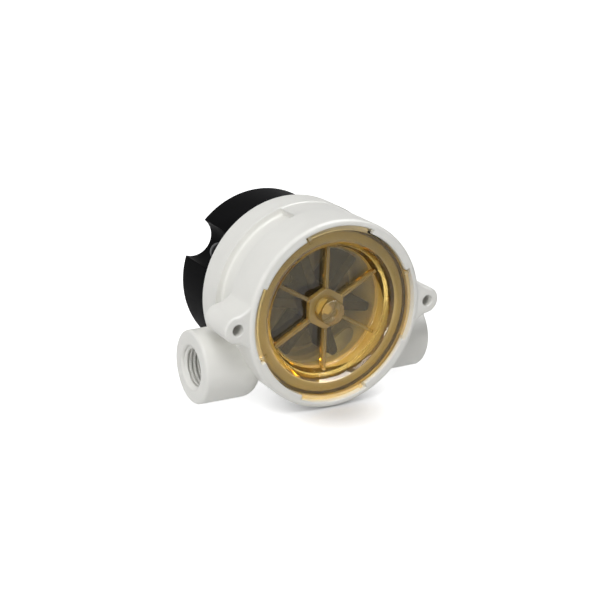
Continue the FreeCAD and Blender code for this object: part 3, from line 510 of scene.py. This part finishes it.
def metal(name, shade, roughness, grain):
    """Metal with fine marks from turning or plating."""
    finish = Finish(name)
    marks = finish.noise(grain, detail=4.0)
    base = finish.mix(marks, rgb(shade), rgb(shade, factor=0.86))
    normal = finish.bump(marks, depth=0.004 * MM, normal=finish.rounded(radius=0.1 * MM))
    return finish.surface(Base_Color=base, Metallic=1.0, Roughness=roughness + 0.12 * marks,
                          Normal=normal)


def moulded(name, shade, roughness, grain):
    """Small moulded or ceramic pieces with a fine grain."""
    finish = Finish(name)
    specks = finish.noise(grain)
    base = finish.mix(specks, rgb(shade), rgb(shade, factor=0.85))
    normal = finish.bump(specks, depth=0.005 * MM, normal=finish.rounded(radius=0.1 * MM))
    return finish.surface(Base_Color=base, Roughness=roughness + 0.15 * specks, Normal=normal)


def board_green(colours):
    """Green solder mask over copper tracks."""
    finish = Finish("board_green")
    flat = finish.node("ShaderNodeMapping", None,
                       {"Vector": finish.place, "Rotation": (math.pi / 2, 0, 0)}).outputs[0]
    tracks = finish.node("ShaderNodeTexBrick", None,
                         {"Vector": flat, "Scale": 250.0, "Mortar Size": 0.06,
                          "Mortar Smooth": 0.2}).outputs["Fac"]
    base = finish.mix(tracks, rgb(colours.board), rgb(colours.track))
    specks = finish.noise(size=0.6 * MM)
    return finish.surface(Base_Color=base, Roughness=0.2 + 0.15 * specks,
                          Normal=finish.bump(tracks, depth=0.02 * MM))


# Metal and moulded finishes have a colour, a roughness and the size of their grain
FINISHES = {
    "white_plastic": white_plastic,
    "amber_plastic": amber_plastic,
    "black_plastic": black_plastic,
    "wheel_plastic": wheel_plastic,
    "black_rubber": black_rubber,
    "white_ceramic": lambda colours: moulded("white_ceramic", colours.ceramic, 0.2, 0.4 * MM),
    "bearing_plastic": lambda colours: moulded("bearing_plastic", colours.bearing, 0.35, 0.5 * MM),
    "magnet_metal": lambda colours: metal("magnet_metal", colours.nickel, 0.2, 0.3 * MM),
    "brass": lambda colours: metal("brass", colours.brass, 0.25, 0.3 * MM),
    "stainless_steel": lambda colours: metal("stainless_steel", colours.steel, 0.28, 0.3 * MM),
    "black_steel": lambda colours: moulded("black_steel", colours.oxide, 0.35, 0.3 * MM),
    "board_green": board_green,
    "chip_black": lambda colours: moulded("chip_black", colours.chip, 0.5, 0.2 * MM),
    "tinned_metal": lambda colours: metal("tinned_metal", colours.tin, 0.3, 0.2 * MM),
    "can_aluminium": lambda colours: metal("can_aluminium", colours.can, 0.3, 0.4 * MM),
    "connector_ivory": lambda colours: moulded("connector_ivory", colours.ivory, 0.4, 0.4 * MM),
}


def finish_for(name):
    """A finish by name, made the first time that it is asked for."""
    made = bpy.data.materials.get(FINISH_NAME.format(name))
    return made or FINISHES[name](bpy.context.scene.sensor_colours)


def settle(piece, finish, *nodes):
    """Give a modelled piece its finish and the body of the sub-parts that it stands for."""
    piece.data.materials.clear()
    piece.data.materials.append(finish_for(finish))
    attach(piece, BODY_OF[nodes[0]])
    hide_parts(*nodes)


def smooth_copy(node):
    """A smooth-shaded copy of a sub-part's mesh, which stands for it."""
    bpy.ops.object.select_all(action="DESELECT")
    piece = NODES[node].copy()
    piece.data = NODES[node].data.copy()
    piece.name = "finished_" + node
    piece.parent = None
    for key in ("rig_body", "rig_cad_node"):  # the frame's marks belong to the original
        del piece[key]
    bpy.context.scene.collection.objects.link(piece)
    bpy.context.view_layer.objects.active = piece
    piece.select_set(True)
    bpy.ops.mesh.customdata_custom_splitnormals_clear()
    bpy.ops.object.mode_set(mode="EDIT")
    bpy.ops.mesh.select_all(action="SELECT")
    bpy.ops.mesh.remove_doubles(threshold=MERGE_WITHIN)
    end_piece(piece.name)
    settle(piece, SLOT_OF[node], node)


def paint_node(node):
    """Give a sub-part that keeps its own mesh its finish."""
    for slot in NODES[node].material_slots:
        slot.material = finish_for(SLOT_OF[node])


def begin(primitive, **sizes):
    """A new primitive, alone in the selection and in edit mode."""
    bpy.ops.object.select_all(action="DESELECT")
    primitive(**sizes)
    piece = bpy.context.active_object
    bpy.ops.object.mode_set(mode="EDIT")
    bpy.ops.mesh.select_mode(type="VERT")
    return piece


def apply_place():
    """Put the place of the piece in edit mode into its mesh."""
    bpy.ops.object.mode_set(mode="OBJECT")
    bpy.ops.object.transform_apply(location=True, rotation=True, scale=True)
    bpy.ops.object.mode_set(mode="EDIT")


def end_piece(name):
    """Leave edit mode, put the piece's place in its mesh and shade it smooth."""
    bpy.ops.object.mode_set(mode="OBJECT")
    piece = bpy.context.active_object
    piece.name = name
    bpy.ops.object.transform_apply(location=True, rotation=True, scale=True)
    bpy.ops.object.shade_smooth_by_angle(angle=SMOOTH_BELOW)
    return piece


def pick(piece, kind, wanted):
    """Select the edges or faces of a piece in edit mode that pass a test."""
    bpy.ops.mesh.select_mode(type=kind)
    bpy.ops.mesh.select_all(action="DESELECT")
    mesh = bmesh.from_edit_mesh(piece.data)
    for item in mesh.edges if kind == "EDGE" else mesh.faces:
        if wanted(item):
            item.select_set(True)
    bmesh.update_edit_mesh(piece.data)


def ring_at(radius, y):
    """A test for the edges that run round the axis at a radius and a distance along it."""
    def wanted(edge):
        return all(abs(math.hypot(corner.co.x, corner.co.z) - radius) < SAME_PLACE
                   and abs(corner.co.y - y) < SAME_PLACE for corner in edge.verts)

    return wanted


def round_ring(piece, radius, y, reach, segments):
    """Round the edge that runs round the axis at a radius and a distance along it."""
    pick(piece, "EDGE", ring_at(radius, y))
    bpy.ops.mesh.bevel(offset=reach, segments=segments, affect="EDGES")


def spin_round():
    """Turn what is selected about the axis into a closed skin."""
    bpy.ops.mesh.select_all(action="SELECT")
    bpy.ops.mesh.spin(steps=TURN_STEPS, angle=FULL_TURN, center=(0, 0, 0), axis=(0, 1, 0))
    bpy.ops.mesh.select_all(action="SELECT")
    bpy.ops.mesh.remove_doubles(threshold=MERGE_WITHIN)
    bpy.ops.mesh.normals_make_consistent(inside=False)


def turned(profile):
    """A piece turned about the axis from a line of radii and distances, left in edit mode."""
    piece = begin(bpy.ops.mesh.primitive_plane_add, size=MM)
    bpy.ops.mesh.merge(type="CENTER")
    points = [Vector((radius, y, 0)) for radius, y in profile]
    bpy.ops.transform.translate(value=points[0])
    for last, following in zip(points, points[1:]):
        bpy.ops.mesh.extrude_region_move(TRANSFORM_OT_translate={"value": following - last})
    spin_round()
    return piece


class SENSOR_OT_body(bpy.types.Operator):
    """Finish the white body with its ports and ears"""

    bl_idname = "object.sensor_body"
    bl_label = "Body"

    def execute(self, context):
        smooth_copy("flow_body")
        return {"FINISHED"}


class SENSOR_OT_lens(bpy.types.Operator):
    """Turn the clear cup of the lens, with its post and its bayonet lugs, and add its ribs"""

    bl_idname = "object.sensor_lens"
    bl_label = "Lens"

    def execute(self, context):
        sizes = context.scene.sensor_sizes
        ribs = self.ribs(sizes)
        cup = self.cup(sizes)
        union = cup.modifiers.new("ribs", "BOOLEAN")
        union.operation = "UNION"
        union.object = ribs
        bpy.ops.object.modifier_apply(modifier=union.name)
        bpy.data.objects.remove(ribs)
        bpy.ops.object.shade_smooth_by_angle(angle=SMOOTH_BELOW)
        settle(cup, "amber_plastic", "lens")
        return {"FINISHED"}

    def cup(self, sizes):
        """The cup with its rounded lip."""
        cup = turned(self.profile(sizes))
        self.raise_lugs(cup, sizes)
        small = sizes.edge_round
        round_ring(cup, sizes.lip_corner, sizes.flange_front, sizes.lip_round, LIP_SEGMENTS)
        round_ring(cup, sizes.flange_radius, sizes.flange_front, small, EDGE_SEGMENTS)
        round_ring(cup, sizes.floor_radius, sizes.floor_depth, 3 * small, ROUND_SEGMENTS)
        round_ring(cup, sizes.post_radius, sizes.floor_depth, small, EDGE_SEGMENTS)
        round_ring(cup, sizes.post_radius, sizes.post_end, 2 * small, ROUND_SEGMENTS)
        round_ring(cup, sizes.gate_radius, sizes.post_end, small, EDGE_SEGMENTS)
        round_ring(cup, sizes.cup_radius, sizes.cup_back, small, EDGE_SEGMENTS)
        return end_piece("lens_cup")

    def profile(self, sizes):
        """Radii and distances from the end of the bore, round the outside, to the post's dimple."""
        return [
            (0, sizes.bore_front),
            (sizes.bore_radius, sizes.bore_front),
            (sizes.bore_radius, sizes.boss_back),
            (sizes.boss_radius, sizes.boss_back),
            (sizes.boss_radius, sizes.cup_back),
            (sizes.cup_radius, sizes.cup_back),
            (sizes.cup_radius, sizes.neck_depth),
            (sizes.neck_radius, sizes.neck_depth),
            (sizes.neck_radius, sizes.flange_back),
            (sizes.flange_radius, sizes.flange_back),
            (sizes.flange_radius, sizes.lug_front),
            (sizes.flange_radius, sizes.flange_front),
            (sizes.key_root, sizes.flange_front),
            (sizes.lip_corner, sizes.flange_front),
            (sizes.floor_radius, sizes.floor_depth),
            (sizes.post_radius, sizes.floor_depth),
            (sizes.post_radius, sizes.post_end),
            (sizes.gate_radius, sizes.post_end),
            (sizes.gate_radius, sizes.post_end + sizes.gate_depth),
            (0, sizes.post_end + sizes.gate_depth),
        ]

    def raise_lugs(self, cup, sizes):
        """Draw keys out of the front of the flange, and keys and lugs together out of its edge."""
        spacing = FULL_TURN / LUG_COUNT

        def middle_of(face):
            middle = face.calc_center_median()
            round_lug = (math.atan2(middle.z, middle.x) + spacing / 2) % spacing - spacing / 2
            return math.hypot(middle.x, middle.z), middle.y, round_lug

        def is_key(round_lug):
            return 0 < sizes.lug_width / 2 - round_lug < sizes.key_width

        def is_key_foot(face):
            radius, y, round_lug = middle_of(face)
            on_front = abs(y - sizes.flange_front) < SAME_PLACE
            return is_key(round_lug) and radius > sizes.key_root and on_front

        def is_edge(face):
            radius, y, round_lug = middle_of(face)
            front = sizes.key_front if is_key(round_lug) else sizes.lug_front
            on_edge = radius > sizes.flange_radius - SAME_PLACE and front < y < sizes.flange_back
            return on_edge and abs(round_lug) < sizes.lug_width / 2

        pick(cup, "FACE", is_key_foot)
        rise = (0, sizes.key_front - sizes.flange_front, 0)
        bpy.ops.mesh.extrude_region_move(TRANSFORM_OT_translate={"value": rise})
        pick(cup, "FACE", is_edge)
        bpy.ops.mesh.extrude_region_move(TRANSFORM_OT_translate={"value": (0, 0, 0)})
        reach = sizes.lug_radius / sizes.flange_radius
        bpy.ops.transform.resize(value=(reach, 1, reach), center_override=(0, 0, 0))

    def ribs(self, sizes):
        """Six ribs drawn out of a hexagon."""
        back = sizes.floor_depth + sizes.rib_sink
        ribs = begin(bpy.ops.mesh.primitive_cylinder_add, vertices=RIB_COUNT,
                     radius=sizes.hexagon_radius, depth=back - sizes.rib_front,
                     location=(0, (sizes.rib_front + back) / 2, 0), rotation=(math.pi / 2, 0, 0))
        apply_place()

        def is_corner(edge):
            return abs(edge.verts[0].co.y - edge.verts[1].co.y) > sizes.rib_sink

        def is_front_edge(edge):
            return all(end.co.y < sizes.rib_front + SAME_PLACE for end in edge.verts)

        pick(ribs, "EDGE", is_corner)
        bpy.ops.mesh.bevel(offset_type="WIDTH", offset=sizes.rib_width, segments=1, affect="EDGES")
        self.draw_out(ribs, sizes)
        pick(ribs, "EDGE", is_front_edge)
        bpy.ops.mesh.bevel(offset=sizes.edge_round, segments=EDGE_SEGMENTS, affect="EDGES")
        return end_piece("lens_ribs")

    def draw_out(self, ribs, sizes):
        """Extrude the narrow sides of the hexagon into the wall of the cup."""
        wall = (sizes.floor_radius + sizes.cup_radius) / 2
        narrow = (sizes.rib_width + sizes.hexagon_radius) / 2

        def is_rib_end(face):
            spans = [edge.calc_length() for edge in face.edges]
            return abs(face.normal.y) < SIDE_LEAN and max(spans) < narrow

        pick(ribs, "FACE", is_rib_end)
        bpy.ops.mesh.extrude_region_move(TRANSFORM_OT_translate={"value": (0, 0, 0)})
        mesh = bmesh.from_edit_mesh(ribs.data)
        for face in [face for face in mesh.faces if face.select]:
            outwards = Vector((face.normal.x, 0, face.normal.z)).normalized()
            reach = wall - face.calc_center_median().dot(outwards)
            for corner in face.verts:
                corner.co += outwards * reach
        bmesh.update_edit_mesh(ribs.data)


class SENSOR_OT_lens_seal(bpy.types.Operator):
    """Turn the sealing ring of the lens, with its moulding line"""

    bl_idname = "object.sensor_lens_seal"
    bl_label = "Lens seal"

    def execute(self, context):
        sizes = context.scene.sensor_sizes
        section = (SEAL_HIGH.y - SEAL_LOW.y) / 2
        middle = SEAL_HIGH.x - section
        plain = section - sizes.seal_flash
        seal = begin(bpy.ops.mesh.primitive_circle_add, vertices=SEAL_SIDES, radius=plain,
                     location=(middle, (SEAL_LOW.y + SEAL_HIGH.y) / 2, 0))
        apply_place()
        mesh = bmesh.from_edit_mesh(seal.data)
        for corner in mesh.verts:
            corner.select_set(abs(abs(corner.co.x - middle) - plain) < SAME_PLACE)
        bmesh.update_edit_mesh(seal.data)
        wider = section / plain
        bpy.ops.transform.resize(value=(wider, 1, 1), center_override=(middle, 0, 0))
        spin_round()
        settle(end_piece("lens_seal"), "black_rubber", "lens_o_ring")
        return {"FINISHED"}


class SENSOR_OT_wheel(bpy.types.Operator):
    """Finish the paddle wheel with its magnets and its bush"""

    bl_idname = "object.sensor_wheel"
    bl_label = "Paddle wheel"

    def execute(self, context):
        smooth_copy("paddle_wheel")
        for node in ("rotor_magnets", "rotor_bush"):
            paint_node(node)
        return {"FINISHED"}


class SENSOR_OT_shaft(bpy.types.Operator):
    """Finish the shaft and the washers at the ends of the wheel's hub"""

    bl_idname = "object.sensor_shaft"
    bl_label = "Shaft and washers"

    def execute(self, context):
        for node in ("rotor_shaft", "front_thrust_washer", "rear_thrust_washer"):
            paint_node(node)
        return {"FINISHED"}


class SENSOR_OT_housing(bpy.types.Operator):
    """Finish the black rear housing and its gasket"""

    bl_idname = "object.sensor_housing"
    bl_label = "Rear housing"

    def execute(self, context):
        for node in ("rear_housing", "housing_gasket"):
            smooth_copy(node)
        return {"FINISHED"}


class SENSOR_OT_fasteners(bpy.types.Operator):
    """Finish the screws, washers and threaded inserts"""

    bl_idname = "object.sensor_fasteners"
    bl_label = "Fasteners"

    def execute(self, context):
        for node in ("housing_screws", "housing_washers", "board_screws"):
            smooth_copy(node)
        paint_node("threaded_inserts")
        return {"FINISHED"}


class SENSOR_OT_grommet(bpy.types.Operator):
    """Turn the rubber grommet in the rear wall"""

    bl_idname = "object.sensor_grommet"
    bl_label = "Grommet"

    def execute(self, context):
        sizes = context.scene.sensor_sizes
        rim, front, back = GROMMET_HIGH.x, GROMMET_LOW.y, GROMMET_HIGH.y
        wall_front = HOUSING_REAR - sizes.grommet_wall
        corners = [
            (sizes.grommet_bore, front),
            (sizes.grommet_nose, front),
            (rim, wall_front),
            (sizes.grommet_neck, wall_front),
            (sizes.grommet_neck, HOUSING_REAR),
            (rim, HOUSING_REAR),
            (sizes.grommet_nose, back),
            (sizes.grommet_bore, back),
        ]
        grommet = turned(corners + corners[:1])
        for radius, y in ((rim, wall_front), (rim, HOUSING_REAR)):
            round_ring(grommet, radius, y, sizes.edge_round, EDGE_SEGMENTS)
        for radius, y in ((sizes.grommet_nose, front), (sizes.grommet_nose, back),
                          (sizes.grommet_bore, front), (sizes.grommet_bore, back)):
            round_ring(grommet, radius, y, 2 * sizes.edge_round, ROUND_SEGMENTS)
        settle(end_piece("grommet"), "black_rubber", "cable_grommet")
        return {"FINISHED"}


class SENSOR_OT_electronics(bpy.types.Operator):
    """Finish the circuit board and the parts on it"""

    bl_idname = "object.sensor_electronics"
    bl_label = "Electronics"

    def execute(self, context):
        for node in ("circuit_board", "hall_sensor", "hall_sensor_legs", "signal_chip", "chip_legs",
                     "voltage_regulator", "capacitors", "resistors", "lead_connector",
                     "connector_pins"):
            paint_node(node)
        return {"FINISHED"}


def facing(place, across, back):
    """The matrix of a lamp or a camera at a place, with its side and its back in directions."""
    rows = Matrix((across, back.cross(across), back)).transposed().to_4x4()
    return Matrix.Translation(place) @ rows


class SENSOR_OT_stage(bpy.types.Operator):
    """Set the floor, the lamps, the sky and the camera"""

    bl_idname = "object.sensor_stage"
    bl_label = "Stage"

    def execute(self, context):
        stage = context.scene.sensor_stage
        target = Vector((0, stage.aim, 0))
        self.floor(stage)
        self.sky(context, stage)
        self.lamp("key lamp", stage.key_place, stage.key_width, stage.key_power, target)
        self.lamp("side lamp", stage.side_place, stage.side_width, stage.side_power, target)
        gloss = self.lamp("gloss lamp", stage.gloss_place, stage.gloss_width, stage.gloss_power,
                          target)
        gloss.visible_diffuse = False
        self.camera(context, stage, target)
        context.scene.view_settings.view_transform = "Standard"
        return {"FINISHED"}

    def floor(self, stage):
        """A pale floor that glows white, with little glow at the foot of the rim: a real shadow
        there, deepened by painted shadow.
        """
        plane = begin(bpy.ops.mesh.primitive_plane_add, size=FLOOR_WIDTH,
                      location=(0, 0, CAD_BOX[0].z))
        bpy.ops.mesh.subdivide(number_cuts=FLOOR_CUTS)
        finish = Finish("pale_floor")
        mottle = finish.mix(finish.noise(size=50 * MM), rgb(stage.floor),
                            rgb(stage.floor, factor=0.98))
        # painted shadow: the glow is low near the foot of the rim and rises outwards
        far = finish.ramp(finish.radius(across=(1, 1, 0)), *PAINTED_SHADOW_PATCH)
        level = stage.near_glow + (stage.far_glow - stage.near_glow) * far
        glow = finish.mix(level * finish.seen(), DARK, BRIGHT)
        finish.surface(Base_Color=mottle, Roughness=0.9, Specular_IOR_Level=0.0,
                       Emission_Color=glow, Emission_Strength=1.0)
        end_piece("floor").data.materials.append(finish.material)

    def sky(self, context, stage):
        """Even white light all round, which looks white itself."""
        world = bpy.data.worlds.new("studio")
        world.use_nodes = True
        background = world.node_tree.nodes["Background"]
        background.inputs["Color"].default_value = BRIGHT
        sky = Nodes(world.node_tree)
        level = stage.sky_strength + (1 - stage.sky_strength) * sky.seen()
        sky.give(background.inputs["Strength"], level)
        context.scene.world = world

    def lamp(self, name, place, width, watts, target):
        """A square soft lamp that faces the sensor."""
        lamp = bpy.data.objects.new(name, bpy.data.lights.new(name, "AREA"))
        lamp.data.shape = "SQUARE"
        lamp.data.size = width
        lamp.data.energy = watts
        back = (place - target).normalized()
        lamp.matrix_world = facing(place, (LEVEL - LEVEL.project(back)).normalized(), back)
        bpy.context.scene.collection.objects.link(lamp)
        return lamp

    def camera(self, context, stage, target):
        """The camera at its angle, distance and roll round the point aimed at."""
        across = Vector((math.cos(stage.azimuth), math.sin(stage.azimuth), 0))
        out = Vector((math.sin(stage.azimuth), -math.cos(stage.azimuth), 0))
        back = out * math.cos(stage.elevation) + Vector((0, 0, math.sin(stage.elevation)))
        roll = Matrix.Rotation(stage.roll, 3, back)
        camera = bpy.data.objects.new("camera", bpy.data.cameras.new("camera"))
        camera.data.lens = stage.focal_length
        camera.data.shift_x, camera.data.shift_y = stage.shift
        camera.matrix_world = facing(target + back * stage.distance, roll @ across, back)
        context.scene.collection.objects.link(camera)
        context.scene.camera = camera


STEPS = (SENSOR_OT_body, SENSOR_OT_lens, SENSOR_OT_lens_seal, SENSOR_OT_wheel, SENSOR_OT_shaft,
         SENSOR_OT_housing, SENSOR_OT_fasteners, SENSOR_OT_grommet, SENSOR_OT_electronics,
         SENSOR_OT_stage)


class SENSOR_PT_panel(bpy.types.Panel):
    """The steps, sizes and colours of the sensor"""

    bl_idname = "SENSOR_PT_panel"
    bl_label = "Flow sensor"
    bl_space_type = "VIEW_3D"
    bl_region_type = "UI"
    bl_category = "Flow sensor"

    def draw(self, context):
        scene = context.scene
        for step in STEPS:
            self.layout.operator(step.bl_idname)
        for group in (scene.sensor_sizes, scene.sensor_colours, scene.sensor_stage):
            box = self.layout.box()
            for name in group.__annotations__:
                box.prop(group, name)


CLASSES = (FlowSensorSizes, FlowSensorColours, FlowSensorStage) + STEPS + (SENSOR_PT_panel,)


def register():
    for cls in CLASSES:
        bpy.utils.register_class(cls)
    bpy.types.Scene.sensor_sizes = bpy.props.PointerProperty(type=FlowSensorSizes)
    bpy.types.Scene.sensor_colours = bpy.props.PointerProperty(type=FlowSensorColours)
    bpy.types.Scene.sensor_stage = bpy.props.PointerProperty(type=FlowSensorStage)


def unregister():
    del bpy.types.Scene.sensor_stage
    del bpy.types.Scene.sensor_colours
    del bpy.types.Scene.sensor_sizes
    for cls in reversed(CLASSES):
        bpy.utils.unregister_class(cls)


def main():
    register()
    bpy.ops.object.sensor_body()
    bpy.ops.object.sensor_lens()
    bpy.ops.object.sensor_lens_seal()
    bpy.ops.object.sensor_wheel()
    bpy.ops.object.sensor_shaft()
    bpy.ops.object.sensor_housing()
    bpy.ops.object.sensor_fasteners()
    bpy.ops.object.sensor_grommet()
    bpy.ops.object.sensor_electronics()
    bpy.ops.object.sensor_stage()


if __name__ == "__main__":
    main()
